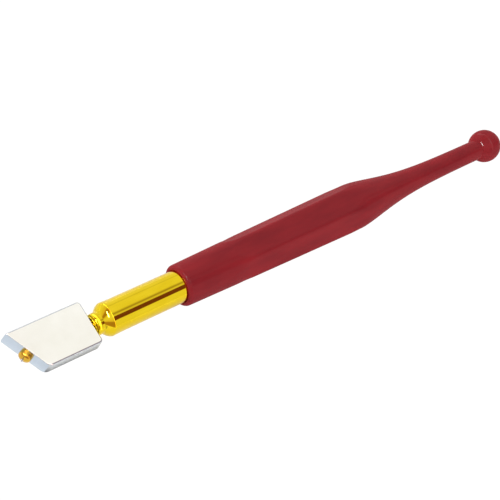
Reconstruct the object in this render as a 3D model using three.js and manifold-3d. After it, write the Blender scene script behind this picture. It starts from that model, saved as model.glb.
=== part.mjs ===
// Glazier's diamond glass cutter with a swivelling head. Millimetres, +Z up.
// The tool lies along X with the head at -X and the ball end at +X. The tool's own measures
// take x = 0 at the front edge of the ferrule's cylinder, and y = z = 0 on the tool's axis.
// The last lines move the whole tool so that the origin is under its middle, on the surface
// that it lies on.
import * as THREE from 'three';
import { mergeVertices } from 'three/addons/utils/BufferGeometryUtils.js';
import Module from 'manifold-3d';

const wasm = await Module();
wasm.setup();

// ---------------------------------------------------------------- driving dimensions
const FIT = 0.06;              // radial room between a piece and the hole that it sits in
const FACE_GAP = 0.08;         // room between two faces that meet
const SIDES = 24;              // facets round a small turned piece

// Handle: round collar, hexagonal grip, round shoulder, slim tail and ball.
const MOUTH_X = 23.1;          // front face of the handle
const LIP_ROUND = 1.1;         // rounding of the mouth's outer edge
const COLLAR_R = 5.92;         // collar radius at the mouth
const COLLAR_SLOPE = 0.0205;   // the collar widens towards the grip
const GRIP_START_X = 40;       // where each flat's middle starts
const GRIP_END_X = 92;         // where each flat's middle ends
const RUN_OUT = 4;             // length over which a flat fades into the round
const RUN_OUT_BOW = 3;         // how far a flat's corners lag behind its middle
const APOTHEM_X = 45;          // the grip's half width across flats is given here ...
const APOTHEM = 5.9;
const APOTHEM_SLOPE = 0.015;   // ... and grows towards the shoulder
const GRIP_CORNER_R = 1.5;     // rounding along the grip's six corners
const SHOULDER_X = 88;
const SHOULDER_R = 7.02;
const TAIL_R = 3.12;
const TAPER_LENGTH = 17.5;     // the shoulder falls to the tail as a stretched exponential
const TAPER_POWER = 1.55;
const BALL_X = 148;
const BALL_R = 5.2;
const HANDLE_SIDES = 36;       // facets round the handle and ferrule

// Ferrule: a brass tube that reaches into the handle, with a turned neck in front.
const FERRULE_R = 4.6;
const FERRULE_BORE_R = 3.7;
const FERRULE_END_X = 34;
const RIDGE_X = -0.3;          // the ferrule is widest at its front edge ...
const RIDGE_R = 4.68;
const RIDGE_END_X = 2.5;       // ... and eases to its plain radius here
const DOME_START_X = -2.45;    // the dome between the neck and the front edge
const DOME_POWER = 1.6;
const NECK_R = 3.08;
const NECK_ROUND = 0.35;       // rounding of the neck's front edge
const NECK_FRONT_X = -4.45;
const NECK_BORE_R = 2.05;
const STEP_X = 0.5;            // step inside the ferrule, behind the neck

// Swivel spindle and what it carries.
const SPINDLE_R = 1.55;
const SPINDLE_FRONT_X = -12.7;
const SPINDLE_END_X = 31;
const FLAT_HEIGHT = 1.05;      // distance from the axis to the flat that meets the stop pin
const FLAT_LENGTH = 2.4;
const STOP_X = 28;
const STOP_PIN_R = 0.6;
const STOP_PIN_CLEAR = 1.33;   // distance from the axis to the pin's near side
const WIRE_R = 0.3;
const COIL_R = 2.5;
const COIL_TURNS = 7;
const NUT_R = 3.15;            // across corners, halved

const WASHER_R = 2.55;         // washer between the neck and the head

// Head: a flat block with a slanted nose that stands forward at its foot.
const HEAD_REAR_X = -5;
const HEAD_WIDTH = 12.65;
const HEAD_OFFSET_Y = 0.65;
const HEAD_THICK = 4.25;
const HEAD_EDGE = 0.35;        // chamfer along the upper and lower edges
const LONG_SIDE = 22.3;        // lengths of the two sides at half height
const SHORT_SIDE = 16.45;
const NOSE_LEAN = 0.63;        // from the nose's top edge out to its foot
const SCREW_R = 1;
const SCREW_FRONT_X = -9.5;

// Diamond holder: a domed brass stub near the middle of the nose, with a thinner shank behind.
const HOLDER_R = 1.75;
const HOLDER_OUT = 1.75;
const HOLDER_DOME = 0.75;      // where the stub's straight side ends and its dome starts
const HOLDER_SEAT = 1.2;       // depth that the stub is let into the nose
const HOLDER_SIDE = 0.45;      // the stub's place beside the middle of the nose
const SHANK_R = 1.3;
const SHANK_IN = 6;
const SLOT_HALF = 0.26;

// ---------------------------------------------------------------- materials
const metal = (color, roughness) => new THREE.MeshStandardMaterial({ color, roughness, metalness: 1 });
const RED = new THREE.MeshStandardMaterial({ color: 0x9c1c28, roughness: 0.3, metalness: 0 });
const BRASS = metal(0xe3bd2b, 0.15);
const BRONZE = metal(0xb08044, 0.4);
const NICKEL = metal(0xd9dce0, 0.18);
const STEEL = metal(0x8e9297, 0.35);
const BLACK_STEEL = metal(0x35373a, 0.45);
const SOLDER = metal(0xb9b4a0, 0.5);
const DIAMOND = new THREE.MeshStandardMaterial({ color: 0xe6dff0, roughness: 0.05, metalness: 0 });

// ---------------------------------------------------------------- solid helpers
// A closed geometry as a solid for cutting. Triangles that shrink to a line on the axis are left out.
function toSolid(geometry) {
  const bare = geometry.clone();
  bare.deleteAttribute('normal');
  bare.deleteAttribute('uv');
  const merged = mergeVertices(bare, 1e-4);
  const triangles = [];
  for (let i = 0; i < merged.index.count; i += 3) {
    const [a, b, c] = [0, 1, 2].map((k) => merged.index.getX(i + k));
    if (a !== b && b !== c && c !== a) triangles.push(a, b, c);
  }
  return new wasm.Manifold(new wasm.Mesh({
    numProp: 3,
    vertProperties: new Float32Array(merged.attributes.position.array),
    triVerts: new Uint32Array(triangles),
  }));
}

function toGeometry(solid) {
  const mesh = solid.getMesh();
  const geometry = new THREE.BufferGeometry();
  geometry.setAttribute('position', new THREE.BufferAttribute(mesh.vertProperties, 3));
  geometry.setIndex(new THREE.BufferAttribute(mesh.triVerts, 1));
  return geometry;
}

function cut(geometry, ...tools) {
  return toGeometry(tools.reduce((solid, tool) => solid.subtract(toSolid(tool)), toSolid(geometry)));
}

// A profile of [x, radius] points, turned about the X axis.
function turned(profile, sides = SIDES) {
  const points = profile.map(([x, r]) => new THREE.Vector2(r, x));
  return new THREE.LatheGeometry(points, sides).rotateZ(-Math.PI / 2);
}

function rod(x0, x1, r, chamfer = 0) {
  if (!chamfer) return turned([[x0, 0], [x0, r], [x1, r], [x1, 0]]);
  return turned([[x0, 0], [x0, r - chamfer], [x0 + chamfer, r], [x1 - chamfer, r], [x1, r - chamfer], [x1, 0]]);
}

function ring(x0, x1, inner, outer) {
  return turned([[x0, inner], [x0, outer], [x1, outer], [x1, inner], [x0, inner]]);
}

// Hexagonal bar along X, with a corner at +Z.
function hexBar(x0, x1, r) {
  return new THREE.CylinderGeometry(r, r, x1 - x0, 6).rotateZ(-Math.PI / 2).translate((x0 + x1) / 2, 0, 0);
}

// Round bar along Y or Z between two heights.
function crossBar(r, low, high, axis, sides = SIDES) {
  const bar = new THREE.CylinderGeometry(r, r, high - low, sides).translate(0, (low + high) / 2, 0);
  return axis === 'z' ? bar.rotateX(Math.PI / 2) : bar;
}

function mesh(name, geometry, material) {
  const part = new THREE.Mesh(geometry, material);
  part.name = name;
  return part;
}

function spread(from, to, count) {
  return Array.from({ length: count }, (_, i) => from + ((to - from) * i) / (count - 1));
}

// ---------------------------------------------------------------- handle
// Angle from the middle of the nearest flat. The flats face +Z, -Z and 60 degrees on.
function angleFromFlat(angle) {
  const turn = Math.PI / 3;
  return Math.abs(angle - Math.round(angle / turn) * turn);
}

// Distance from the axis to a hexagon with rounded corners.
function hexRadius(apothem, fromFlat) {
  const halfFlat = (apothem - GRIP_CORNER_R) * Math.tan(Math.PI / 6);
  if (apothem * Math.tan(fromFlat) <= halfFlat) return apothem / Math.cos(fromFlat);
  const toCentre = (apothem - GRIP_CORNER_R) / Math.cos(Math.PI / 6);
  const swing = Math.PI / 6 - fromFlat;
  return toCentre * Math.cos(swing) + Math.sqrt(GRIP_CORNER_R ** 2 - (toCentre * Math.sin(swing)) ** 2);
}

// Radius of the round parts: the collar in front, the shoulder and tail behind.
function roundRadius(x) {
  if (x < (GRIP_START_X + GRIP_END_X) / 2) {
    const intoLip = Math.max(0, LIP_ROUND - (x - MOUTH_X));
    const lipDrop = LIP_ROUND - Math.sqrt(LIP_ROUND ** 2 - Math.min(intoLip, LIP_ROUND) ** 2);
    return COLLAR_R + COLLAR_SLOPE * (x - MOUTH_X) - lipDrop;
  }
  const along = Math.max(0, x - SHOULDER_X) / TAPER_LENGTH;
  return TAIL_R + (SHOULDER_R - TAIL_R) * Math.exp(-(along ** TAPER_POWER));
}

// How much of the hexagon shows: 0 in the round parts, 1 along the grip.
function gripShare(x, fromFlat) {
  const lag = RUN_OUT_BOW * (fromFlat / (Math.PI / 6)) ** 2;
  const start = THREE.MathUtils.smoothstep(x, GRIP_START_X + lag, GRIP_START_X + lag + RUN_OUT);
  const end = THREE.MathUtils.smoothstep(x, GRIP_END_X - lag - 2 * RUN_OUT, GRIP_END_X - lag);
  return start * (1 - end);
}

function handleRadius(x, angle) {
  const ballJoint = BALL_X - Math.sqrt(BALL_R ** 2 - TAIL_R ** 2);
  if (x > ballJoint) return Math.sqrt(Math.max(0, BALL_R ** 2 - (x - BALL_X) ** 2));
  const fromFlat = angleFromFlat(angle);
  const apothem = APOTHEM + APOTHEM_SLOPE * (x - APOTHEM_X);
  return THREE.MathUtils.lerp(roundRadius(x), hexRadius(apothem, fromFlat), gripShare(x, fromFlat));
}

function handleStations() {
  const lip = spread(0, Math.PI / 2, 4).map((a) => MOUTH_X + LIP_ROUND * (1 - Math.cos(a)));
  const ballJoint = Math.acos(-Math.sqrt(BALL_R ** 2 - TAIL_R ** 2) / BALL_R);
  const ball = spread(ballJoint, 0, 11).map((a) => BALL_X + BALL_R * Math.cos(a)).slice(0, -1);
  const grip = [...spread(39, 50, 8), 62, 73, ...spread(82, 94, 7)];
  return [...lip, 32, ...grip, ...spread(98, 118, 6), 126, 136, ...ball];
}

// Rings of points at each station, joined into a closed skin.
function lofted(stations, radiusAt, sides, endX) {
  const positions = [];
  for (const x of stations) {
    for (let j = 0; j < sides; j += 1) {
      const angle = (2 * Math.PI * j) / sides;
      const r = radiusAt(x, angle);
      positions.push(x, r * Math.sin(angle), r * Math.cos(angle));
    }
  }
  const front = positions.length / 3;
  positions.push(stations[0], 0, 0, endX, 0, 0);
  const last = (stations.length - 1) * sides;
  const index = [];
  for (let j = 0; j < sides; j += 1) {
    const next = (j + 1) % sides;
    index.push(front, j, next, front + 1, last + next, last + j);
    for (let i = 0; i < stations.length - 1; i += 1) {
      const a = i * sides;
      const b = a + sides;
      index.push(a + j, b + j, a + next, b + j, b + next, a + next);
    }
  }
  const geometry = new THREE.BufferGeometry();
  geometry.setAttribute('position', new THREE.Float32BufferAttribute(positions, 3));
  geometry.setIndex(index);
  return geometry;
}

// Places along the blind bore in the handle.
const SOCKET_END_X = FERRULE_END_X + 0.4;
const INSERT_START_X = 36;
const INSERT_END_X = 50;
const INSERT_R = 3.2;
const STUD_R = 1.95;
const STUD_END_X = 54;

function handle() {
  const outside = lofted(handleStations(), handleRadius, HANDLE_SIDES, BALL_X + BALL_R);
  const socket = turned([
    [MOUTH_X - 1, 0], [MOUTH_X - 1, FERRULE_R + FIT], [SOCKET_END_X, FERRULE_R + FIT],
    [SOCKET_END_X, INSERT_R + FIT], [INSERT_END_X + FACE_GAP, INSERT_R + FIT],
    [INSERT_END_X + FACE_GAP, STUD_R + FIT], [STUD_END_X + 1, STUD_R + FIT], [STUD_END_X + 2, 0],
  ]);
  return mesh('handle', cut(outside, socket), RED);
}

// Brass sleeve moulded into the handle, with two grooves that the plastic grips.
function threadInsert() {
  const groove = INSERT_R - 0.4;
  const grooves = [39, 45].flatMap((x) => [[x, INSERT_R], [x, groove], [x + 1.6, groove], [x + 1.6, INSERT_R]]);
  return mesh('thread_insert', turned([
    [INSERT_START_X, STUD_R + FIT], [INSERT_START_X, INSERT_R], ...grooves, [INSERT_END_X, INSERT_R],
    [INSERT_END_X, STUD_R + FIT], [INSERT_START_X, STUD_R + FIT],
  ]), BRASS);
}

// Steel plug pressed into the ferrule's rear end, with the stud that screws into the insert.
function tangStud() {
  const plug = FERRULE_BORE_R - FIT;
  return mesh('tang_stud', turned([
    [SPINDLE_END_X + 0.5, 0], [SPINDLE_END_X + 0.5, plug], [FERRULE_END_X - 0.2, plug],
    [FERRULE_END_X - 0.2, STUD_R], [STUD_END_X - 0.5, STUD_R], [STUD_END_X, STUD_R - 0.5], [STUD_END_X, 0],
  ]), STEEL);
}

// ---------------------------------------------------------------- ferrule and its bearings
const PIN_Z = STOP_PIN_CLEAR + STOP_PIN_R;

function stopHole() {
  return crossBar(STOP_PIN_R + FIT, -FERRULE_R, FERRULE_R, 'y', 12).translate(STOP_X, 0, PIN_Z);
}

function ferrule() {
  const dome = spread(0, 1, 7).map((t) => [
    DOME_START_X + (RIDGE_X - DOME_START_X) * t,
    NECK_R + (RIDGE_R - NECK_R) * (1 - (1 - t) ** DOME_POWER),
  ]);
  return mesh('ferrule', cut(turned([
    [NECK_FRONT_X, NECK_BORE_R], [NECK_FRONT_X, NECK_R - NECK_ROUND], [NECK_FRONT_X + NECK_ROUND, NECK_R],
    ...dome, [RIDGE_END_X, FERRULE_R],
    [FERRULE_END_X, FERRULE_R], [FERRULE_END_X, FERRULE_BORE_R], [STEP_X, FERRULE_BORE_R],
    [STEP_X, NECK_BORE_R], [NECK_FRONT_X, NECK_BORE_R],
  ], HANDLE_SIDES), stopHole()), BRASS);
}

// Flanged bronze bush that carries the spindle in the neck.
const FLANGE_END_X = STEP_X + 0.9;
function frontBush() {
  const bore = SPINDLE_R + FIT;
  return mesh('front_bush', turned([
    [NECK_FRONT_X + 0.1, bore], [NECK_FRONT_X + 0.1, NECK_BORE_R - FIT], [STEP_X + FACE_GAP, NECK_BORE_R - FIT],
    [STEP_X + FACE_GAP, FERRULE_BORE_R - FIT], [FLANGE_END_X, FERRULE_BORE_R - FIT], [FLANGE_END_X, bore],
    [NECK_FRONT_X + 0.1, bore],
  ]), BRONZE);
}

function rearBush() {
  const body = ring(24.6, SPINDLE_END_X, SPINDLE_R + FIT, FERRULE_BORE_R - FIT);
  return mesh('rear_bush', cut(body, stopHole()), BRONZE);
}

function stopPin() {
  const reach = Math.sqrt(FERRULE_R ** 2 - (PIN_Z + STOP_PIN_R) ** 2) - FIT;
  return mesh('stop_pin', crossBar(STOP_PIN_R, -reach, reach, 'y', 12).translate(STOP_X, 0, PIN_Z), STEEL);
}

const WASHER_X = FLANGE_END_X + FACE_GAP;
function thrustWasher() {
  return mesh('thrust_washer', ring(WASHER_X, WASHER_X + 0.5, SPINDLE_R + FIT, FERRULE_BORE_R - 0.2), STEEL);
}

// ---------------------------------------------------------------- swivelling parts
function screwSeat(x, y) {
  return crossBar(SCREW_R + FIT, -HEAD_THICK, -SPINDLE_R / 2, 'z', 12).translate(x, y, 0);
}

function spindle() {
  const flat = new THREE.BoxGeometry(FLAT_LENGTH, 4, 2).translate(STOP_X, 0, FLAT_HEIGHT + 1);
  const bar = rod(SPINDLE_FRONT_X, SPINDLE_END_X, SPINDLE_R, 0.25);
  return mesh('swivel_spindle', cut(bar, flat, screwSeat(SCREW_FRONT_X, 0)), STEEL);
}

function neckWasher() {
  const washer = ring(HEAD_REAR_X + FACE_GAP, NECK_FRONT_X - FACE_GAP, SPINDLE_R + FIT, WASHER_R);
  return mesh('neck_washer', washer, BRASS);
}

class Coil extends THREE.Curve {
  constructor(x0, x1) {
    super();
    this.x0 = x0;
    this.x1 = x1;
  }

  getPoint(t) {
    const angle = 2 * Math.PI * COIL_TURNS * t;
    const x = this.x0 + (this.x1 - this.x0) * t;
    return new THREE.Vector3(x, COIL_R * Math.sin(angle), COIL_R * Math.cos(angle));
  }
}

const COIL_START_X = WASHER_X + 0.5 + FACE_GAP;
const COIL_END_X = 13;
function spring() {
  const section = new THREE.Shape().absarc(0, 0, WIRE_R, 0, 2 * Math.PI);
  const path = new Coil(COIL_START_X + WIRE_R, COIL_END_X - WIRE_R);
  return mesh('swivel_spring', new THREE.ExtrudeGeometry(section, {
    extrudePath: path, steps: COIL_TURNS * 12, curveSegments: 4, bevelEnabled: false,
  }), STEEL);
}

// Washer and two jammed nuts behind the spring.
const NUTS_X = COIL_END_X + 0.7;
function springWasher() {
  return mesh('spring_washer', ring(COIL_END_X + FACE_GAP, NUTS_X, SPINDLE_R + FIT, 3.3), STEEL);
}

function nut(name, x, thickness) {
  const bore = rod(x - 1, x + thickness + 1, SPINDLE_R + FIT);
  return mesh(name, cut(hexBar(x, x + thickness, NUT_R), bore), STEEL);
}

// ---------------------------------------------------------------- head
const HEAD_FAR_Y = HEAD_OFFSET_Y + HEAD_WIDTH / 2;
const HEAD_NEAR_Y = HEAD_OFFSET_Y - HEAD_WIDTH / 2;
const CORNER_STEPS = 6;

// Where the nose is, at a place across the head and a height.
function noseAt(y, z) {
  const slant = ((LONG_SIDE - SHORT_SIDE) * (y - HEAD_NEAR_Y)) / HEAD_WIDTH;
  return HEAD_REAR_X - SHORT_SIDE - slant + (NOSE_LEAN * z) / HEAD_THICK;
}

// Points round a convex outline, given clockwise seen from above as [x, y, corner radius].
function roundedOutline(corners) {
  return corners.flatMap(([x, y, r], i) => {
    const here = new THREE.Vector2(x, y);
    const [before, after] = [corners.at(i - 1), corners[(i + 1) % corners.length]]
      .map(([cx, cy]) => new THREE.Vector2(cx, cy).sub(here).normalize());
    const half = before.angleTo(after) / 2;
    const centre = before.clone().add(after).setLength(r / Math.sin(half)).add(here);
    const reach = r / Math.tan(half);
    const first = before.clone().multiplyScalar(reach).add(here).sub(centre);
    const last = after.clone().multiplyScalar(reach).add(here).sub(centre);
    const sweep = -first.angleTo(last);
    return spread(0, sweep, CORNER_STEPS).map((a) => {
      const point = first.clone().rotateAround(new THREE.Vector2(), a).add(centre);
      return [point.x, point.y];
    });
  });
}

// The head's outline at one height, drawn in by an inset on all but the nose.
function headOutline(z, inset) {
  const [near, far, rear] = [HEAD_NEAR_Y + inset, HEAD_FAR_Y - inset, HEAD_REAR_X - inset];
  return roundedOutline([
    [rear, far, 1.1 - inset], [rear, near, 1.1 - inset],
    [noseAt(near, z), near, 1.9 - inset], [noseAt(far, z), far, 0.3],
  ]);
}

// Outlines of equally many points at rising heights, joined into a closed skin with flat ends.
function stacked(levels) {
  const positions = levels.flatMap(([z, outline]) => outline.flatMap(([x, y]) => [x, y, z]));
  const sides = levels[0][1].length;
  const top = (levels.length - 1) * sides;
  const index = [];
  for (let j = 0; j < sides; j += 1) {
    const next = (j + 1) % sides;
    for (let a = 0; a < top; a += sides) {
      const b = a + sides;
      index.push(a + j, b + j, a + next, b + j, b + next, a + next);
    }
    if (j > 0 && next > 0) index.push(0, j, next, top, top + next, top + j);
  }
  const geometry = new THREE.BufferGeometry();
  geometry.setAttribute('position', new THREE.Float32BufferAttribute(positions, 3));
  geometry.setIndex(index);
  return geometry;
}

const NOSE_X = noseAt(HEAD_OFFSET_Y, 0);
const NOSE_TURN = Math.PI + Math.atan2(LONG_SIDE - SHORT_SIDE, HEAD_WIDTH);

// Moves a shape from the holder's own axis, with +X out of the nose, to the head.
function onNose(geometry) {
  return geometry.translate(0, HOLDER_SIDE, 0).rotateZ(NOSE_TURN).translate(NOSE_X, HEAD_OFFSET_Y, 0);
}

// A point on the holder's axis, given its distance out of the nose.
function alongHolder(out) {
  const place = new THREE.Vector2(out, HOLDER_SIDE).rotateAround(new THREE.Vector2(), NOSE_TURN);
  return [NOSE_X + place.x, HEAD_OFFSET_Y + place.y];
}

const HOLDER_SCREW = alongHolder(-3.7);

function headBlock() {
  const half = HEAD_THICK / 2;
  const block = stacked([[-half, HEAD_EDGE], [HEAD_EDGE - half, 0], [half - HEAD_EDGE, 0], [half, HEAD_EDGE]]
    .map(([z, inset]) => [z, headOutline(z, inset)]));
  const spindleBore = rod(SPINDLE_FRONT_X - 0.3, HEAD_REAR_X + 1, SPINDLE_R + FIT);
  const holderBore = turned([
    [-SHANK_IN - 0.1, 0], [-SHANK_IN - 0.1, SHANK_R + FIT], [-HOLDER_SEAT - FACE_GAP, SHANK_R + FIT],
    [-HOLDER_SEAT - FACE_GAP, HOLDER_R + FIT], [1, HOLDER_R + FIT], [1, 0],
  ]);
  return mesh('head_block', cut(
    block, spindleBore, onNose(holderBore), screwSeat(SCREW_FRONT_X, 0), screwSeat(...HOLDER_SCREW),
  ), NICKEL);
}

// Socket set screw under the head. Its point sits in a seat in the piece that it locks.
function setScrew(name, x, y) {
  const low = -HEAD_THICK / 2 + 0.15;
  const body = crossBar(SCREW_R, low, -SPINDLE_R / 2 - FACE_GAP, 'z', 12);
  const socket = crossBar(SCREW_R / 2, low - 1, low + 0.7, 'z', 6);
  return mesh(name, cut(body, socket).translate(x, y, 0), BLACK_STEEL);
}

function diamondHolder() {
  const slot = new THREE.BoxGeometry(2, 2 * SLOT_HALF, 4).translate(HOLDER_OUT, 0, -1.9);
  const dome = spread(Math.PI / 2, 0, 6).map((a) => [
    HOLDER_DOME + (HOLDER_OUT - HOLDER_DOME) * Math.cos(a), HOLDER_R * Math.sin(a),
  ]);
  const stub = turned([
    [-SHANK_IN, 0], [-SHANK_IN, SHANK_R], [-HOLDER_SEAT, SHANK_R], [-HOLDER_SEAT, HOLDER_R], ...dome,
  ]);
  return mesh('diamond_holder', cut(onNose(cut(stub, slot)), screwSeat(...HOLDER_SCREW)), BRASS);
}

function diamondBraze() {
  const bead = new THREE.BoxGeometry(0.3, 2 * SLOT_HALF - 0.1, 1.2).translate(0.95, 0, -0.7);
  return mesh('diamond_braze', onNose(bead), SOLDER);
}

function diamond() {
  const stone = new THREE.OctahedronGeometry(0.55).scale(0.8, 0.4, 1).translate(HOLDER_OUT - 0.15, 0, -0.95);
  return mesh('diamond', onNose(stone), DIAMOND);
}

// ---------------------------------------------------------------- assembly
const handleSide = new THREE.Group();
handleSide.add(
  handle(), threadInsert(), tangStud(), ferrule(), frontBush(), rearBush(), stopPin(), thrustWasher(),
);

const headSide = new THREE.Group();
headSide.add(
  headBlock(), spindle(), neckWasher(), spring(), springWasher(),
  nut('spindle_nut', NUTS_X + FACE_GAP, 2.3), nut('lock_nut', NUTS_X + FACE_GAP * 2 + 2.3, 1.7),
  setScrew('spindle_set_screw', SCREW_FRONT_X, 0), setScrew('holder_set_screw', ...HOLDER_SCREW),
  diamondHolder(), diamondBraze(), diamond(),
);

const tool = new THREE.Group();
tool.add(handleSide, headSide);

// The origin goes under the middle of the tool, at the height of its lowest point.
const extent = new THREE.Box3().setFromObject(tool);
const middle = extent.getCenter(new THREE.Vector3());
tool.position.set(-middle.x, -middle.y, -extent.min.z);

export default tool;
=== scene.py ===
"""Looks of the glass cutter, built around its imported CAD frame.

Shapes are worked out in the tool's own measures: millimetres, x = 0 near the front edge of the
ferrule's cylinder, y = z = 0 on the tool's axis. build_mesh() moves them into the row frame.
"""
import math

import bmesh
import bpy
from mathutils import Matrix, Vector


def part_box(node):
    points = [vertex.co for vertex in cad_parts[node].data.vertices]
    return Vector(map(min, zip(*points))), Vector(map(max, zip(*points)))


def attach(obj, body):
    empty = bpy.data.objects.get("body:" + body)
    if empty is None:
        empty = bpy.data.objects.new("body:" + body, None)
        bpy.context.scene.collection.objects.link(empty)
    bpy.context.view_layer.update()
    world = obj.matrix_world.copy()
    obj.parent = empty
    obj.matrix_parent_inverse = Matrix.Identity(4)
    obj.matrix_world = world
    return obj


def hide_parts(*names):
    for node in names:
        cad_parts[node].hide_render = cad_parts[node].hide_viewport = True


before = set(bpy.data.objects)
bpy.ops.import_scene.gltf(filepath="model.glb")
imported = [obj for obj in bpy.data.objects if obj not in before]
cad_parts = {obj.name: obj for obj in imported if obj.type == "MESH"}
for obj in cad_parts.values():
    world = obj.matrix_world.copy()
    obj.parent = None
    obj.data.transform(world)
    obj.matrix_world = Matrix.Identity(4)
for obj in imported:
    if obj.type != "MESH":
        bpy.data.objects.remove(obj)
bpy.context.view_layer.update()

MM = 0.001

# ------------------------------------------------------------ driving dimensions, millimetres
# The frame's ferrule gives the place of the tool's own measures in the row frame.
NECK_FRONT_X = -4.45
ORIGIN_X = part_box("ferrule")[0].x / MM - NECK_FRONT_X
AXIS_Z = (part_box("ferrule")[0].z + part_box("ferrule")[1].z) / 2 / MM

FIT = 0.06               # radial room between a piece and its bore
FACE_GAP = 0.08          # room between two faces that meet
SEEN_FIT = 0.012         # radial room round the stub in the nose, where it is seen
PAST = 1                 # how far a cutter reaches past the face that it opens
MOUTH_FLARE = 0.15       # how much wider a bore is at its mouth

# Handle.
MOUTH_X = 23.1
LIP_ROUND = 1.1
COLLAR_R = 5.92
COLLAR_SLOPE = 0.0205
GRIP_START_X = 40
GRIP_END_X = 92
RUN_OUT = 4
RUN_OUT_BOW = 3
APOTHEM_X = 45
APOTHEM = 5.9
APOTHEM_SLOPE = 0.015
GRIP_CORNER_R = 1.5
SHOULDER_X = 88
SHOULDER_R = 7.02
TAIL_R = 3.12
TAPER_LENGTH = 17.5
TAPER_POWER = 1.55
BALL_X = 148
BALL_R = 5.2
SOCKET_END_X = 34.4
INSERT_R = 3.26
INSERT_END_X = 50.08
STUD_R = 2.01
STUD_END_X = 55
BORE_TIP = 1
BALL_STEP = 0.8          # from the ball's last ring to the tail's first
LIP_STEP = 0.2           # from the collar's last ring to the lip's first

# Ferrule and neck.
FERRULE_R = 4.6
FERRULE_BORE_R = 3.7
FERRULE_END_X = 34
RIDGE_X = -0.3
RIDGE_R = 4.68
RIDGE_END_X = 2.5
DOME_START_X = -2.45
DOME_POWER = 1.6
NECK_R = 3.08
# Each is a distance behind the neck's front and the radius there.
NECK_TAPER = [(0, 2.72), (0.06, 2.84), (0.2, 2.93), (0.5, 3.0), (0.95, 3.05), (1.4, NECK_R)]
NECK_BORE_R = 2.05
STEP_X = 0.5
STOP_X = 28
STOP_PIN_R = 0.6
STOP_PIN_Z = 1.93
NECK_BREAK = 0.1
NECK_CORNER = 0.05
PLAIN_START_X = 4
FERRULE_BREAK = 0.3

# Washer, spindle and head.
SPINDLE_R = 1.55
SPINDLE_FRONT_X = -12.7
SPINDLE_BORE_SPARE = 0.3
WASHER_R = 2.55
WASHER_ROUND = 0.12
HEAD_REAR_X = -5
HEAD_WIDTH = 12.65
HEAD_OFFSET_Y = 0.65
HEAD_THICK = 4.25
LONG_SIDE = 22.3
SHORT_SIDE = 16.45
NOSE_LEAN = 0.63
HEAD_ROUND = 0.55
NOSE_TOP_ROUND = 0.12
NOSE_FOOT_ROUND = 0.3
REAR_CORNER_R = 1.1
NEAR_NOSE_R = 1.9
FAR_NOSE_R = 0.3
SCREW_R = 1
SCREW_FRONT_X = -9.5
SCREW_RECESS = 0.15
SCREW_BEVEL = 0.12
SOCKET_WALL_DEPTH = 0.7
SOCKET_TIP_DEPTH = 0.95

# Diamond holder.
HOLDER_R = 1.75
HOLDER_OUT = 1.75
HOLDER_DOME = 0.75
HOLDER_SEAT = 1.2
HOLDER_SIDE = 0.45
SHANK_R = 1.3
SHANK_IN = 6
SHANK_SPARE = 0.1
SHANK_BREAK = 0.2
SEAT_BREAK = 0.1
SLOT_IN = 1
SLOT_HALF = 0.26
SLOT_TOP_Z = 0.1
SLOT_LOW_Z = -4
SEAM_X = 1.1
SEAM_HALF = 0.11
SEAM_TOP_Z = 1.25
HOLDER_SCREW_IN = 3.7

# Worked out from the above.
HEAD_FAR_Y = HEAD_OFFSET_Y + HEAD_WIDTH / 2
HEAD_NEAR_Y = HEAD_OFFSET_Y - HEAD_WIDTH / 2
NOSE_TURN = math.pi + math.atan2(LONG_SIDE - SHORT_SIDE, HEAD_WIDTH)

# ------------------------------------------------------------ fineness, light and view
HANDLE_SIDES = 216
BALL_RINGS = 40
BODY_RINGS = 240
LIP_RINGS = 12
DOME_RINGS = 30
EASE_RINGS = 10
PLAIN_RINGS = 24
STUB_RINGS = 24
EDGE_LEVELS = 10
FERRULE_SIDES = 192
WASHER_SIDES = 128
HOLDER_SIDES = 96
SPINDLE_BORE_SIDES = 64
SCREW_SIDES = 48
SCREW_HOLE_SIDES = 40
CROSS_BAR_SIDES = 32
SHARP_ANGLE = 35         # degrees, above which an edge is shaded as a sharp one
HANDLE_SHARP_ANGLE = 40

# Share of a face's normal that is upright, and that points out of the nose.
WIDE_FACE = 0.97
ROUNDED_EDGE = 0.3
NOSE_FACE = 0.6

# Angles in degrees, distances and lamp sizes in metres, lens and target in millimetres.
CAMERA_TARGET = (49.43, 0.87, 0.036)
CAMERA_AZIMUTH = -67.21
CAMERA_ELEVATION = 53.18
CAMERA_DISTANCE = 0.3633
CAMERA_ROLL = 37.77
CAMERA_LENS = 93.6

# Each is a name, an azimuth and a strength.
SIDE_LAMPS = (("far_side", 180, 3.6), ("near_side", 0, 2.2), ("head_end", -90, 1.8))
SIDE_LAMP_SPREAD = 50
STRIP_AZIMUTH = -103.2
STRIP_ELEVATION = 44
STRIP_LENGTH = 0.6
STRIP_WIDTH = 0.07
STRIP_POWER = 14
BAND_GLOW = 4            # what the band adds to the tent's own strength of 1

FLOOR_HALF = 3
FLOOR_DROP = 0.0001
FLOOR_GLOW = 1.05
FLOOR_OWN_WHITE = 0.93   # share of the floor's own white in what the camera sees


# ------------------------------------------------------------ camera, light and floor
def aim(obj, target, roll=0.0):
    """Turns a camera or light at a point, then rolls it about its own line of sight."""
    line = Vector(target) - obj.location
    obj.rotation_mode = "QUATERNION"
    turn = Matrix.Rotation(roll, 4, "Z").to_quaternion()
    obj.rotation_quaternion = line.to_track_quat("-Z", "Y") @ turn


def around(target, azimuth, elevation, distance):
    """A point round a target. Azimuth 0 looks along +Y."""
    a, e = math.radians(azimuth), math.radians(elevation)
    back = Vector((math.sin(a) * math.cos(e), -math.cos(a) * math.cos(e), math.sin(e)))
    return Vector(target) + back * distance


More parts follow.
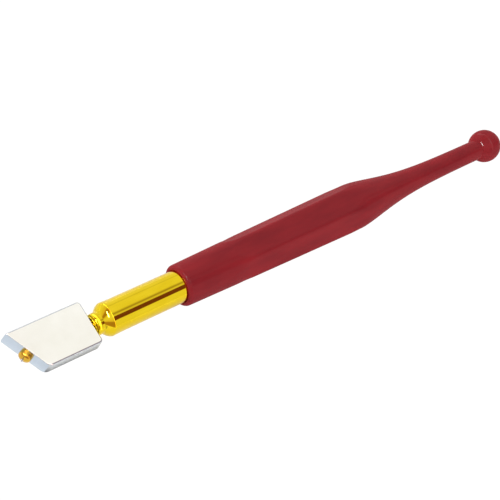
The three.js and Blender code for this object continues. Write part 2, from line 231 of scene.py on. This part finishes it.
def make_camera():
    """The camera. It looks at a point inside the front of the grip."""
    x, y, z = CAMERA_TARGET
    target = Vector((ORIGIN_X + x, y, AXIS_Z + z)) * MM
    data = bpy.data.cameras.new("camera")
    data.sensor_width = 36
    data.lens = CAMERA_LENS
    data.clip_start = 0.01
    camera = bpy.data.objects.new("camera", data)
    bpy.context.scene.collection.objects.link(camera)
    camera.location = around(target, CAMERA_AZIMUTH, CAMERA_ELEVATION, CAMERA_DISTANCE)
    aim(camera, target, math.radians(CAMERA_ROLL))
    bpy.context.scene.camera = camera


def add_lamp(data, azimuth, elevation):
    """Puts a lamp one metre from the origin and turns it to it."""
    lamp = bpy.data.objects.new(data.name, data)
    bpy.context.scene.collection.objects.link(lamp)
    lamp.location = around((0, 0, 0), azimuth, elevation, 1)
    aim(lamp, (0, 0, 0))
    return lamp


def make_lamps():
    """Three level lamps that shape the plastic, and a strip that only gives gloss its highlights."""
    for name, azimuth, strength in SIDE_LAMPS:
        data = bpy.data.lights.new(name, "SUN")
        data.energy = strength
        data.angle = math.radians(SIDE_LAMP_SPREAD)
        add_lamp(data, azimuth, 0).visible_glossy = False
    data = bpy.data.lights.new("strip", "AREA")
    data.shape = "RECTANGLE"
    data.size = STRIP_LENGTH
    data.size_y = STRIP_WIDTH
    data.energy = STRIP_POWER
    add_lamp(data, STRIP_AZIMUTH, STRIP_ELEVATION).visible_diffuse = False


def make_world():
    """A white tent. Its light is even, but what gloss shows of it is not: long panels run along the
    tail's end with a dark gap between two of them, a bright band crosses them, and the head's end
    is warmer, with two shades. Places on both ramps are degrees from +Z towards +Y."""
    world = bpy.data.worlds.new("tent")
    world.use_nodes = True
    tree = world.node_tree

    def node(kind, **settings):
        made = tree.nodes.new(kind)
        for name, value in settings.items():
            setattr(made, name, value)
        return made

    def link(output, socket):
        tree.links.new(output, socket)

    def from_to(value, low, high):
        made = node("ShaderNodeMapRange")
        made.inputs["From Min"].default_value = low
        made.inputs["From Max"].default_value = high
        link(value, made.inputs["Value"])
        return made.outputs["Result"]

    def ramp(value, low, high, stops):
        made = node("ShaderNodeValToRGB")
        elements = made.color_ramp.elements
        while len(elements) < len(stops):
            elements.new(0.5)
        for element, (place, colour) in zip(elements, stops):
            element.position = (place - low) / (high - low)
            element.color = (*colour, 1)
        link(value, made.inputs["Fac"])
        return made.outputs["Color"]

    def flat(colour):
        made = node("ShaderNodeRGB")
        made.outputs[0].default_value = (*colour, 1)
        return made.outputs[0]

    def blend(share, first, second):
        made = node("ShaderNodeMixRGB")
        for value, socket in zip((share, first, second), made.inputs):
            link(value, socket)
        return made.outputs[0]

    split = node("ShaderNodeSeparateXYZ")
    link(node("ShaderNodeTexCoord").outputs["Generated"], split.inputs[0])
    turn = node("ShaderNodeMath", operation="ARCTAN2")
    link(split.outputs["Y"], turn.inputs[0])
    link(split.outputs["Z"], turn.inputs[1])
    around_x = from_to(turn.outputs[0], -math.pi, math.pi)

    black = (0, 0, 0)
    panel = (1, 1, 1)
    soft = (0.86, 0.84, 0.85)
    seam = (0.78, 0.76, 0.78)
    fold = (0.5, 0.43, 0.4)
    gap = (0.2, 0.06, 0.1)
    amber = (0.9, 0.74, 0.68)
    shade = (0.5, 0.3, 0.26)
    tail_end = ramp(around_x, -180, 180, [
        (-180, panel), (-50, panel), (-47.5, gap), (-22.5, gap), (-20.5, soft), (-14, soft),
        (-7, fold), (-2, fold), (5, soft), (10, panel), (54, panel), (60, seam), (66, panel),
        (180, panel)])
    head_end = ramp(around_x, -180, 180, [
        (-180, amber), (-100, amber), (-80, shade), (-55, shade), (-45, amber), (-20, panel),
        (0, panel), (10, amber), (22, shade), (40, shade), (52, amber), (80, panel), (180, amber)])
    both = blend(from_to(split.outputs["X"], 0.2, 0.4), head_end, tail_end)
    band = ramp(from_to(split.outputs["X"], -1, 1), -1, 1, [
        (-1, black), (0.12, black), (0.16, panel), (0.26, panel), (0.3, black), (1, black)])

    dull = node("ShaderNodeLightPath").outputs["Is Diffuse Ray"]
    background = tree.nodes["Background"]
    link(blend(dull, both, flat(panel)), background.inputs["Color"])
    strength = node("ShaderNodeMath", operation="MULTIPLY_ADD")
    link(blend(dull, band, flat(black)), strength.inputs[0])
    strength.inputs[1].default_value = BAND_GLOW
    strength.inputs[2].default_value = 1
    link(strength.outputs[0], background.inputs["Strength"])
    bpy.context.scene.world = world
    bpy.context.scene.view_settings.view_transform = "Standard"


def make_floor():
    """A pale floor. To the camera it is mostly its own even white, so only a faint shadow shows."""
    half = FLOOR_HALF
    corners = [(-half, -half, 0), (half, -half, 0), (half, half, 0), (-half, half, 0)]
    data = bpy.data.meshes.new("floor")
    data.from_pydata(corners, [], [(0, 1, 2, 3)])
    floor = bpy.data.objects.new("floor", data)
    bpy.context.scene.collection.objects.link(floor)
    floor.location.z = -FLOOR_DROP
    material = bpy.data.materials.new("floor")
    material.use_nodes = True
    tree = material.node_tree
    shader = tree.nodes["Principled BSDF"]
    shader.inputs["Base Color"].default_value = (0.9, 0.9, 0.9, 1)
    shader.inputs["Roughness"].default_value = 0.9
    shader.inputs["Specular IOR Level"].default_value = 0.1
    glow = tree.nodes.new("ShaderNodeEmission")
    glow.inputs["Color"].default_value = (1, 1, 1, 1)
    glow.inputs["Strength"].default_value = FLOOR_GLOW
    share = tree.nodes.new("ShaderNodeMath")
    share.operation = "MULTIPLY"
    share.inputs[1].default_value = FLOOR_OWN_WHITE
    mix = tree.nodes.new("ShaderNodeMixShader")
    tree.links.new(tree.nodes.new("ShaderNodeLightPath").outputs["Is Camera Ray"], share.inputs[0])
    tree.links.new(share.outputs[0], mix.inputs[0])
    tree.links.new(shader.outputs[0], mix.inputs[1])
    tree.links.new(glow.outputs[0], mix.inputs[2])
    tree.links.new(mix.outputs[0], tree.nodes["Material Output"].inputs["Surface"])
    data.materials.append(material)


# ------------------------------------------------------------ mesh helpers
def shade_smooth(data, sharp_angle):
    data.polygons.foreach_set("use_smooth", [True] * len(data.polygons))
    data.set_sharp_from_angle(angle=math.radians(sharp_angle))


def build_mesh(name, points, faces, sharp_angle=SHARP_ANGLE):
    """A mesh object from points in the tool's own measures, with its faces turned outwards."""
    placed = [((x + ORIGIN_X) * MM, y * MM, (z + AXIS_Z) * MM) for x, y, z in points]
    data = bpy.data.meshes.new(name)
    data.from_pydata(placed, [], faces)
    data.validate()
    work = bmesh.new()
    work.from_mesh(data)
    bmesh.ops.recalc_face_normals(work, faces=work.faces)
    work.to_mesh(data)
    work.free()
    shade_smooth(data, sharp_angle)
    obj = bpy.data.objects.new(name, data)
    bpy.context.scene.collection.objects.link(obj)
    return obj


def spread(start, end, count):
    """Evenly spaced values, with both ends."""
    return [start + (end - start) * i / (count - 1) for i in range(count)]


def skin(rings, closed=False):
    """Points and faces of rings joined in order. A ring of one point closes an end."""
    points, starts = [], []
    for ring in rings:
        starts.append(len(points))
        points.extend(ring)
    faces = []
    pairs = list(zip(range(len(rings)), range(1, len(rings))))
    if closed:
        pairs.append((len(rings) - 1, 0))
    for a, b in pairs:
        na, nb = len(rings[a]), len(rings[b])
        for j in range(max(na, nb)):
            k = (j + 1) % max(na, nb)
            if na == 1:
                faces.append((starts[a], starts[b] + j, starts[b] + k))
            elif nb == 1:
                faces.append((starts[a] + j, starts[b], starts[a] + k))
            else:
                faces.append((starts[a] + j, starts[b] + j, starts[b] + k, starts[a] + k))
    return points, faces


def ring_at(x, radius, sides):
    """A ring about the tool's axis. The radius is a number or a function of the angle from +Z."""
    if not callable(radius) and radius <= 1e-6:
        return [(x, 0.0, 0.0)]
    ring = []
    for j in range(sides):
        angle = 2 * math.pi * j / sides
        r = radius(angle) if callable(radius) else radius
        ring.append((x, r * math.sin(angle), r * math.cos(angle)))
    return ring


def turned(profile, sides, closed=False):
    """Points and faces of a profile of (x, radius) turned about the axis."""
    return skin([ring_at(x, r, sides) for x, r in profile], closed)


def upright(profile, x, y, sides):
    """Points and faces of a profile of (z, radius) turned about an upright line."""
    rings = [[(x - q, y + p, z) for z, p, q in ring_at(z, r, sides)] for z, r in profile]
    return skin(rings)


def arc(cx, cr, radius, start, end, count=6):
    """Points on an arc in a profile. Angles in degrees from +x towards larger radius."""
    return [(cx + radius * math.cos(math.radians(a)), cr + radius * math.sin(math.radians(a)))
            for a in spread(start, end, count)]


def cut(obj, *cutters):
    """Cuts closed meshes out of obj and removes them."""
    for cutter in cutters:
        modifier = obj.modifiers.new("cut", "BOOLEAN")
        modifier.operation = "DIFFERENCE"
        modifier.solver = "EXACT"
        modifier.object = cutter
    bpy.context.view_layer.update()
    graph = bpy.context.evaluated_depsgraph_get()
    data = bpy.data.meshes.new_from_object(obj.evaluated_get(graph))
    obj.modifiers.clear()
    obj.data = data
    for cutter in cutters:
        bpy.data.objects.remove(cutter)
    shade_smooth(data, SHARP_ANGLE)
    weighted = obj.modifiers.new("weighted", "WEIGHTED_NORMAL")
    weighted.keep_sharp = True
    return obj


def finish_piece(obj, body, slot, materials, *nodes):
    """Gives a piece its materials, hangs it on the body that carries it, and hides the CAD nodes that it
    stands for.
    """
    obj.data.materials.clear()
    for material in materials:
        obj.data.materials.append(material)
    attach(obj, body)
    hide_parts(*nodes)


# ------------------------------------------------------------ materials
class Nodes:
    """Short calls for building one material's node tree."""

    def __init__(self, name):
        self.material = bpy.data.materials.new(name)
        self.material.use_nodes = True
        self.tree = self.material.node_tree
        self.shader = self.tree.nodes["Principled BSDF"]
        self.place = self.tree.nodes.new("ShaderNodeTexCoord").outputs["Object"]

    def set(self, **values):
        for name, value in values.items():
            socket = self.shader.inputs[name.replace("_", " ")]
            socket.default_value = (*value, 1) if isinstance(value, tuple) else value

    def link(self, output, input_socket):
        self.tree.links.new(output, input_socket)

    def stretch(self, scale):
        node = self.tree.nodes.new("ShaderNodeMapping")
        node.inputs["Scale"].default_value = scale
        self.link(self.place, node.inputs["Vector"])
        return node.outputs["Vector"]

    def noise(self, scale, detail, stretch=None):
        """Noise with about this many spots to the millimetre."""
        node = self.tree.nodes.new("ShaderNodeTexNoise")
        node.inputs["Scale"].default_value = scale / MM
        node.inputs["Detail"].default_value = detail
        self.link(self.stretch(stretch) if stretch else self.place, node.inputs["Vector"])
        return node.outputs["Fac"]

    def ramp(self, value, *stops):
        """Colour ramp. Each stop is (position, colour)."""
        node = self.tree.nodes.new("ShaderNodeValToRGB")
        elements = node.color_ramp.elements
        while len(elements) < len(stops):
            elements.new(0.5)
        for element, (position, colour) in zip(elements, stops):
            element.position = position
            element.color = (*colour, 1)
        self.link(value, node.inputs["Fac"])
        return node.outputs["Color"]

    def span(self, value, low, high, start=0.3, end=0.7):
        """A value's range from start to end mapped to low to high."""
        node = self.tree.nodes.new("ShaderNodeMapRange")
        for name, number in (("From Min", start), ("From Max", end), ("To Min", low), ("To Max", high)):
            node.inputs[name].default_value = number
        self.link(value, node.inputs["Value"])
        return node.outputs["Result"]

    def bump(self, height, depth, normal=None):
        """Bump of this depth in millimetres, over another bump's normal if one is given."""
        node = self.tree.nodes.new("ShaderNodeBump")
        node.inputs["Distance"].default_value = depth * MM
        self.link(height, node.inputs["Height"])
        if normal:
            self.link(normal, node.inputs["Normal"])
        return node.outputs["Normal"]


def red_plastic():
    n = Nodes("red_plastic")
    n.set(Specular_IOR_Level=0.0, Coat_Weight=0.15, Coat_IOR=1.5, Coat_Roughness=0.08)
    blotch = n.noise(0.3, 4, (0.25, 1, 1))
    n.link(n.ramp(blotch, (0.3, (0.165, 0.012, 0.016)), (0.7, (0.22, 0.015, 0.019))),
           n.shader.inputs["Base Color"])
    n.link(n.span(n.noise(0.6, 5), 0.16, 0.26), n.shader.inputs["Roughness"])
    peel = n.bump(n.noise(0.35, 2, (0.4, 1, 1)), 0.01)
    n.link(n.bump(n.noise(9, 2, (0.15, 1, 1)), 0.001, normal=peel), n.shader.inputs["Normal"])
    return n.material


def brass(name, dark, light, rough):
    n = Nodes(name)
    n.set(Metallic=1.0)
    n.link(n.ramp(n.noise(0.5, 4, (0.3, 1, 1)), (0.3, dark), (0.7, light)), n.shader.inputs["Base Color"])
    n.link(n.span(n.noise(1.5, 4, (1, 0.2, 0.2)), rough * 0.6, rough * 1.4), n.shader.inputs["Roughness"])
    n.link(n.bump(n.noise(14, 2, (1, 0.05, 0.05)), 0.0003), n.shader.inputs["Normal"])
    return n.material


def nickel():
    n = Nodes("nickel_plate")
    n.set(Metallic=1.0)
    n.link(n.ramp(n.noise(0.12, 5), (0.3, (0.90, 0.875, 0.78)), (0.7, (0.97, 0.95, 0.875))),
           n.shader.inputs["Base Color"])
    n.link(n.span(n.noise(0.9, 5), 0.05, 0.09), n.shader.inputs["Roughness"])
    n.link(n.bump(n.noise(6, 3, (0.1, 1, 1)), 0.0006), n.shader.inputs["Normal"])
    return n.material


def ground_nickel_painted_shade(name, low_colour, high_colour):
    """Ground plate whose colour runs with height, from one colour at the head's under face to another at
    its top face: painted shade and reflection for how light falls on the sides and nose.
    """
    n = Nodes(name)
    n.set(Metallic=1.0)
    split = n.tree.nodes.new("ShaderNodeSeparateXYZ")
    n.link(n.place, split.inputs[0])
    # Painted shade: the base colour follows the height on the head, darker towards the under face on the
    # sides and a little lighter there on the nose.
    bottom, top = ((AXIS_Z + side * HEAD_THICK / 2) * MM for side in (-1, 1))
    height = n.span(split.outputs["Z"], 0.0, 1.0, bottom, top)
    wavy = n.tree.nodes.new("ShaderNodeMath")
    n.link(height, wavy.inputs[0])
    n.link(n.span(n.noise(0.3, 4), -0.06, 0.06), wavy.inputs[1])
    n.link(n.ramp(wavy.outputs[0], (0.1, low_colour), (0.9, high_colour)), n.shader.inputs["Base Color"])
    n.link(n.span(n.noise(1.2, 4), 0.16, 0.26), n.shader.inputs["Roughness"])
    n.link(n.bump(n.noise(9, 3, (1, 1, 0.08)), 0.001), n.shader.inputs["Normal"])
    return n.material


def plain_metal(name, colour, rough):
    n = Nodes(name)
    n.set(Metallic=1.0)
    dark = tuple(c * 0.85 for c in colour)
    n.link(n.ramp(n.noise(1.2, 4), (0.3, dark), (0.7, colour)), n.shader.inputs["Base Color"])
    n.link(n.span(n.noise(2.5, 4), rough * 0.8, rough * 1.2), n.shader.inputs["Roughness"])
    n.link(n.bump(n.noise(12, 2, (1, 0.1, 0.1)), 0.001), n.shader.inputs["Normal"])
    return n.material


def stone():
    n = Nodes("diamond_stone")
    n.set(IOR=2.4, Transmission_Weight=0.4)
    n.link(n.ramp(n.noise(3, 3), (0.3, (0.30, 0.26, 0.36)), (0.7, (0.62, 0.58, 0.70))),
           n.shader.inputs["Base Color"])
    n.link(n.span(n.noise(5, 2), 0.03, 0.1), n.shader.inputs["Roughness"])
    return n.material


# ------------------------------------------------------------ handle
def smooth(value, start, end):
    """0 before start, 1 after end, and an even ease between."""
    t = min(1.0, max(0.0, (value - start) / (end - start)))
    return t * t * (3 - 2 * t)


def hex_radius(apothem, from_flat):
    """Distance from the axis to a hexagon with rounded corners."""
    half_flat = (apothem - GRIP_CORNER_R) * math.tan(math.pi / 6)
    if apothem * math.tan(from_flat) <= half_flat:
        return apothem / math.cos(from_flat)
    to_centre = (apothem - GRIP_CORNER_R) / math.cos(math.pi / 6)
    swing = math.pi / 6 - from_flat
    root = GRIP_CORNER_R ** 2 - (to_centre * math.sin(swing)) ** 2
    return to_centre * math.cos(swing) + math.sqrt(root)


def round_radius(x):
    """Radius of the round collar in front, and of the shoulder and tail behind."""
    if x < (GRIP_START_X + GRIP_END_X) / 2:
        into_lip = min(LIP_ROUND, max(0.0, LIP_ROUND - (x - MOUTH_X)))
        lip_drop = LIP_ROUND - math.sqrt(LIP_ROUND ** 2 - into_lip ** 2)
        return COLLAR_R + COLLAR_SLOPE * (x - MOUTH_X) - lip_drop
    along = max(0.0, x - SHOULDER_X) / TAPER_LENGTH
    return TAIL_R + (SHOULDER_R - TAIL_R) * math.exp(-(along ** TAPER_POWER))


def grip_share(x, from_flat):
    """How much of the hexagon shows: 0 in the round parts, 1 along the grip."""
    lag = RUN_OUT_BOW * (from_flat / (math.pi / 6)) ** 2
    start = smooth(x, GRIP_START_X + lag, GRIP_START_X + lag + RUN_OUT)
    end = smooth(x, GRIP_END_X - lag - 2 * RUN_OUT, GRIP_END_X - lag)
    return start * (1 - end)


def handle_radius(x, angle):
    turn = math.pi / 3
    from_flat = abs(angle - round(angle / turn) * turn)
    apothem = APOTHEM + APOTHEM_SLOPE * (x - APOTHEM_X)
    share = grip_share(x, from_flat)
    return round_radius(x) * (1 - share) + hex_radius(apothem, from_flat) * share


def handle_rings():
    """Rings from the ball's tip forward to the mouth, then back inside to the bore's end."""
    joint = math.acos(-math.sqrt(BALL_R ** 2 - TAIL_R ** 2) / BALL_R)
    ball = [(BALL_X + BALL_R * math.cos(a), BALL_R * math.sin(a)) for a in spread(0, joint, BALL_RINGS)]
    body = spread(ball[-1][0] - BALL_STEP, MOUTH_X + LIP_ROUND + LIP_STEP, BODY_RINGS)
    lip = [MOUTH_X + LIP_ROUND * (1 - math.cos(a)) for a in spread(math.pi / 2, 0, LIP_RINGS)]
    rings = [ring_at(x, r, HANDLE_SIDES) for x, r in ball[:-1]]
    for x in [ball[-1][0], *body, *lip]:
        rings.append(ring_at(x, lambda angle, x=x: handle_radius(x, angle), HANDLE_SIDES))
    bore = FERRULE_R + FIT
    inside = [
        (MOUTH_X, bore + MOUTH_FLARE), (MOUTH_X + MOUTH_FLARE, bore), (SOCKET_END_X, bore),
        (SOCKET_END_X, INSERT_R), (INSERT_END_X, INSERT_R), (INSERT_END_X, STUD_R),
        (STUD_END_X, STUD_R), (STUD_END_X + BORE_TIP, 0),
    ]
    return rings + [ring_at(x, r, HANDLE_SIDES) for x, r in inside]


def make_handle(material):
    points, faces = skin(handle_rings())
    handle = build_mesh("red_handle", points, faces, HANDLE_SHARP_ANGLE)
    finish_piece(handle, "handle_side", "red_plastic", [material], "handle")


# ------------------------------------------------------------ ferrule and neck
def cross_bar(r, low, high, x, z):
    """Cutter in the form of a round bar across the tool, along Y."""
    rings = [[(x + p, y, z + q) for y, p, q in ring_at(at, radius, CROSS_BAR_SIDES)]
             for at, radius in ((low, 0), (low, r), (high, r), (high, 0))]
    return build_mesh("cutter", *skin(rings))


def make_ferrule(material):
    neck = [(NECK_FRONT_X + along, r) for along, r in NECK_TAPER]
    dome = [(DOME_START_X + (RIDGE_X - DOME_START_X) * t,
             NECK_R + (RIDGE_R - NECK_R) * (1 - (1 - t) ** DOME_POWER)) for t in spread(0, 1, DOME_RINGS)]
    ease = [(RIDGE_X + (RIDGE_END_X - RIDGE_X) * t, RIDGE_R - (RIDGE_R - FERRULE_R) * smooth(t, 0, 1))
            for t in spread(0.1, 1, EASE_RINGS)]
    plain = [(x, FERRULE_R) for x in spread(PLAIN_START_X, FERRULE_END_X - FERRULE_BREAK, PLAIN_RINGS)]
    profile = [
        (NECK_FRONT_X, NECK_BORE_R + NECK_BREAK), *neck, (DOME_START_X - NECK_CORNER, NECK_R),
        *dome, *ease, *plain,
        (FERRULE_END_X, FERRULE_R - FERRULE_BREAK), (FERRULE_END_X, FERRULE_BORE_R),
        (STEP_X, FERRULE_BORE_R), (STEP_X, NECK_BORE_R), (NECK_FRONT_X + NECK_BREAK, NECK_BORE_R),
    ]
    points, faces = turned(profile, FERRULE_SIDES, closed=True)
    ferrule = build_mesh("brass_ferrule", points, faces)
    reach = FERRULE_R + PAST
    cut(ferrule, cross_bar(STOP_PIN_R + FIT, -reach, reach, STOP_X, STOP_PIN_Z))
    finish_piece(ferrule, "handle_side", "brass", [material], "ferrule")


def make_neck_washer(material):
    front, rear = HEAD_REAR_X + FACE_GAP, NECK_FRONT_X - FACE_GAP
    rim_r = WASHER_R - WASHER_ROUND
    profile = [
        (front, SPINDLE_R + FIT), *arc(front + WASHER_ROUND, rim_r, WASHER_ROUND, 180, 90),
        *arc(rear - WASHER_ROUND, rim_r, WASHER_ROUND, 90, 0), (rear, SPINDLE_R + FIT),
    ]
    points, faces = turned(profile, WASHER_SIDES, closed=True)
    washer = build_mesh("brass_neck_washer", points, faces)
    finish_piece(washer, "head_side", "brass", [material], "neck_washer")


# ------------------------------------------------------------ head
def nose_at(y, z):
    """Where the nose is, at a place across the head and a height."""
    slant = (LONG_SIDE - SHORT_SIDE) * (y - HEAD_NEAR_Y) / HEAD_WIDTH
    return HEAD_REAR_X - SHORT_SIDE - slant + NOSE_LEAN * z / HEAD_THICK


NOSE_X = nose_at(HEAD_OFFSET_Y, 0)


def rounded_outline(corners, steps=10):
    """Points round a convex outline, given anticlockwise as (x, y, corner radius)."""
    outline = []
    for i, (x, y, r) in enumerate(corners):
        here = Vector((x, y))
        before = (Vector(corners[i - 1][:2]) - here).normalized()
        after = (Vector(corners[(i + 1) % len(corners)][:2]) - here).normalized()
        half = before.angle(after) / 2
        centre = here + (before + after).normalized() * (r / math.sin(half))
        first = math.atan2(*(here + before * (r / math.tan(half)) - centre).yx)
        last = math.atan2(*(here + after * (r / math.tan(half)) - centre).yx)
        sweep = (last - first) % (2 * math.pi)
        for step in range(steps + 1):
            a = first + sweep * step / steps
            outline.append((centre.x + r * math.cos(a), centre.y + r * math.sin(a)))
    return outline


def edge_inset(depth, radius):
    """How far a rounded edge has drawn in, at this depth from the face above or below it."""
    if depth >= radius:
        return 0.0
    return radius - math.sqrt(radius ** 2 - (radius - depth) ** 2)


def head_outline(z):
    """The head's outline at one height. Its sides and rear are well rounded, its nose hardly."""
    depth = HEAD_THICK / 2 - abs(z)
    side = edge_inset(depth, HEAD_ROUND)
    nose = edge_inset(depth, NOSE_TOP_ROUND if z > 0 else NOSE_FOOT_ROUND)
    near, far = HEAD_NEAR_Y + side, HEAD_FAR_Y - side
    rear = HEAD_REAR_X - side
    return rounded_outline([
        (rear, near, REAR_CORNER_R - side), (rear, far, REAR_CORNER_R - side),
        (nose_at(far, z) + nose, far, FAR_NOSE_R), (nose_at(near, z) + nose, near, NEAR_NOSE_R - side),
    ])


def head_levels():
    """Heights of the outlines from the under face to the top, close together at the edges."""
    half = HEAD_THICK / 2
    edge = [half - HEAD_ROUND * (1 - math.sin(a)) for a in spread(0, math.pi / 2, EDGE_LEVELS)]
    return [-z for z in edge[::-1]] + edge


def on_nose(points):
    """Moves points from the holder's own axis (x out of the nose) to the head."""
    c, s = math.cos(NOSE_TURN), math.sin(NOSE_TURN)
    return [(NOSE_X + x * c - (y + HOLDER_SIDE) * s, HEAD_OFFSET_Y + x * s + (y + HOLDER_SIDE) * c, z)
            for x, y, z in points]


def box(low, high):
    """Points and faces of a box between two corners."""
    points = [(x, y, z) for x in (low[0], high[0]) for y in (low[1], high[1]) for z in (low[2], high[2])]
    return points, [(0, 1, 3, 2), (4, 6, 7, 5), (0, 4, 5, 1), (2, 3, 7, 6), (0, 2, 6, 4), (1, 5, 7, 3)]


HOLDER_SCREW = on_nose([(-HOLDER_SCREW_IN, 0, 0)])[0][:2]


def screw_hole(x, y):
    """Cutter for a screw's hole under the head, with a small countersink at its mouth."""
    r, wide = SCREW_R + FIT, SCREW_R + FIT + MOUTH_FLARE
    low, top = -HEAD_THICK / 2, -SPINDLE_R / 2
    profile = [(low - PAST, 0), (low - PAST, wide), (low, wide), (low + MOUTH_FLARE, r),
               (top, r), (top, 0)]
    return build_mesh("cutter", *upright(profile, x, y, SCREW_HOLE_SIDES))


def spindle_bore():
    """Cutter for the spindle's bore, from the rear of the head."""
    r, wide = SPINDLE_R + FIT, SPINDLE_R + FIT + MOUTH_FLARE
    end = SPINDLE_FRONT_X - SPINDLE_BORE_SPARE
    profile = [(end, 0), (end, r), (HEAD_REAR_X - MOUTH_FLARE, r), (HEAD_REAR_X, wide),
               (HEAD_REAR_X + PAST, wide), (HEAD_REAR_X + PAST, 0)]
    return build_mesh("cutter", *turned(profile, SPINDLE_BORE_SIDES))


def holder_bore():
    """Cutter for the diamond holder's stepped bore, from the nose."""
    end, seat = -SHANK_IN - SHANK_SPARE, -HOLDER_SEAT - FACE_GAP
    shank_r, stub_r = SHANK_R + FIT, HOLDER_R + SEEN_FIT
    profile = [(end, 0), (end, shank_r), (seat, shank_r), (seat, stub_r), (PAST, stub_r), (PAST, 0)]
    points, faces = turned(profile, HOLDER_SIDES)
    return build_mesh("cutter", on_nose(points), faces)


def make_head(materials):
    """The head. Its materials are for the wide faces, the rounded edges, the sides and the nose; all but
    the first are darker copies of the nickel that paint shade and reflection.
    """
    rings = [[(x, y, z) for x, y in head_outline(z)] for z in head_levels()]
    points, faces = skin(rings)
    count = len(rings[0])
    faces = faces + [tuple(range(count)), tuple(range(len(points) - count, len(points)))]
    head = build_mesh("head_block_skin", points, faces)
    cut(head, spindle_bore(), holder_bore(), screw_hole(SCREW_FRONT_X, 0), screw_hole(*HOLDER_SCREW))
    finish_piece(head, "head_side", "nickel", materials, "head_block")
    for face in head.data.polygons:
        if abs(face.normal.z) > WIDE_FACE:
            face.material_index = 0
        elif abs(face.normal.z) > ROUNDED_EDGE:
            face.material_index = 1
        else:
            face.material_index = 3 if face.normal.x < -NOSE_FACE else 2


def make_set_screw(name, x, y, node, material):
    """Set screw with a hexagonal socket in its lower end."""
    low, top = -HEAD_THICK / 2 + SCREW_RECESS, -SPINDLE_R / 2 - FACE_GAP
    end_r, socket_r = SCREW_R - SCREW_BEVEL, SCREW_R / 2
    profile = [(low, 0), (low, end_r), (low + SCREW_BEVEL, SCREW_R), (top - SCREW_BEVEL, SCREW_R),
               (top, end_r), (top, 0)]
    screw = build_mesh(name, *upright(profile, x, y, SCREW_SIDES))
    socket = [(low - PAST, 0), (low - PAST, socket_r), (low + SOCKET_WALL_DEPTH, socket_r),
              (low + SOCKET_TIP_DEPTH, 0)]
    cut(screw, build_mesh("cutter", *upright(socket, x, y, 6)))
    finish_piece(screw, "head_side", "black_steel", [material], node)


def make_holder(material):
    """The brass stub and its shank, with the slot for the stone below and a fine seam above."""
    dome = [(HOLDER_DOME + (HOLDER_OUT - HOLDER_DOME) * math.cos(a), HOLDER_R * math.sin(a))
            for a in spread(math.pi / 2, 0, STUB_RINGS)]
    end, seat, front = -SHANK_IN, -HOLDER_SEAT, HOLDER_OUT + PAST
    profile = [
        (end, 0), (end, SHANK_R - SHANK_BREAK), (end + SHANK_BREAK, SHANK_R), (seat, SHANK_R),
        (seat, HOLDER_R - SEAT_BREAK), (seat + SEAT_BREAK, HOLDER_R), *dome,
    ]
    points, faces = turned(profile, HOLDER_SIDES)
    holder = build_mesh("diamond_holder_stub", on_nose(points), faces)
    points, faces = box((HOLDER_OUT - SLOT_IN, -SLOT_HALF, SLOT_LOW_Z), (front, SLOT_HALF, SLOT_TOP_Z))
    slot = build_mesh("cutter", on_nose(points), faces)
    points, faces = box((SEAM_X, -SEAM_HALF, 0), (front, SEAM_HALF, SEAM_TOP_Z))
    seam = build_mesh("cutter", on_nose(points), faces)
    cut(holder, slot, seam, screw_hole(*HOLDER_SCREW))
    finish_piece(holder, "head_side", "brass", [material], "diamond_holder")


# ------------------------------------------------------------ CAD nodes that stay
def dress(names, material):
    """Gives CAD nodes that stay in view a material."""
    for name in names:
        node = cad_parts[name]
        node.data.materials.clear()
        node.data.materials.append(material)


make_camera()
make_lamps()
make_world()
make_floor()
BRASS = brass("polished_brass", (0.77, 0.55, 0.012), (0.84, 0.62, 0.02), 0.065)
STEEL = plain_metal("machined_steel", (0.52, 0.53, 0.55), 0.32)
BRONZE = plain_metal("bearing_bronze", (0.62, 0.40, 0.17), 0.36)
BLACK_STEEL = plain_metal("black_steel", (0.06, 0.055, 0.05), 0.35)
BRAZE = plain_metal("silver_braze", (0.30, 0.24, 0.17), 0.5)
make_handle(red_plastic())
make_ferrule(BRASS)
make_neck_washer(BRASS)
make_head([
    # Painted shade: the edge, side and nose materials are darker copies of the top face's nickel,
    # standing in for shade and reflection.
    nickel(), plain_metal("nickel_edge_painted_shade", (0.66, 0.68, 0.70), 0.08),
    ground_nickel_painted_shade("ground_nickel_side_painted_shade", (0.10, 0.11, 0.12), (0.58, 0.61, 0.63)),
    ground_nickel_painted_shade("ground_nickel_nose_painted_reflection", (0.56, 0.63, 0.71), (0.50, 0.57, 0.65)),
])
make_set_screw("spindle_screw_skin", SCREW_FRONT_X, 0, "spindle_set_screw", BLACK_STEEL)
make_set_screw("holder_screw_skin", *HOLDER_SCREW, "holder_set_screw", BLACK_STEEL)
make_holder(brass("holder_brass", (0.52, 0.27, 0.03), (0.78, 0.50, 0.06), 0.13))
dress(["thread_insert"], BRASS)
dress(["tang_stud", "stop_pin", "thrust_washer", "swivel_spindle", "swivel_spring",
       "spring_washer", "spindle_nut", "lock_nut"], STEEL)
dress(["front_bush", "rear_bush"], BRONZE)
dress(["diamond_braze"], BRAZE)
dress(["diamond"], stone())
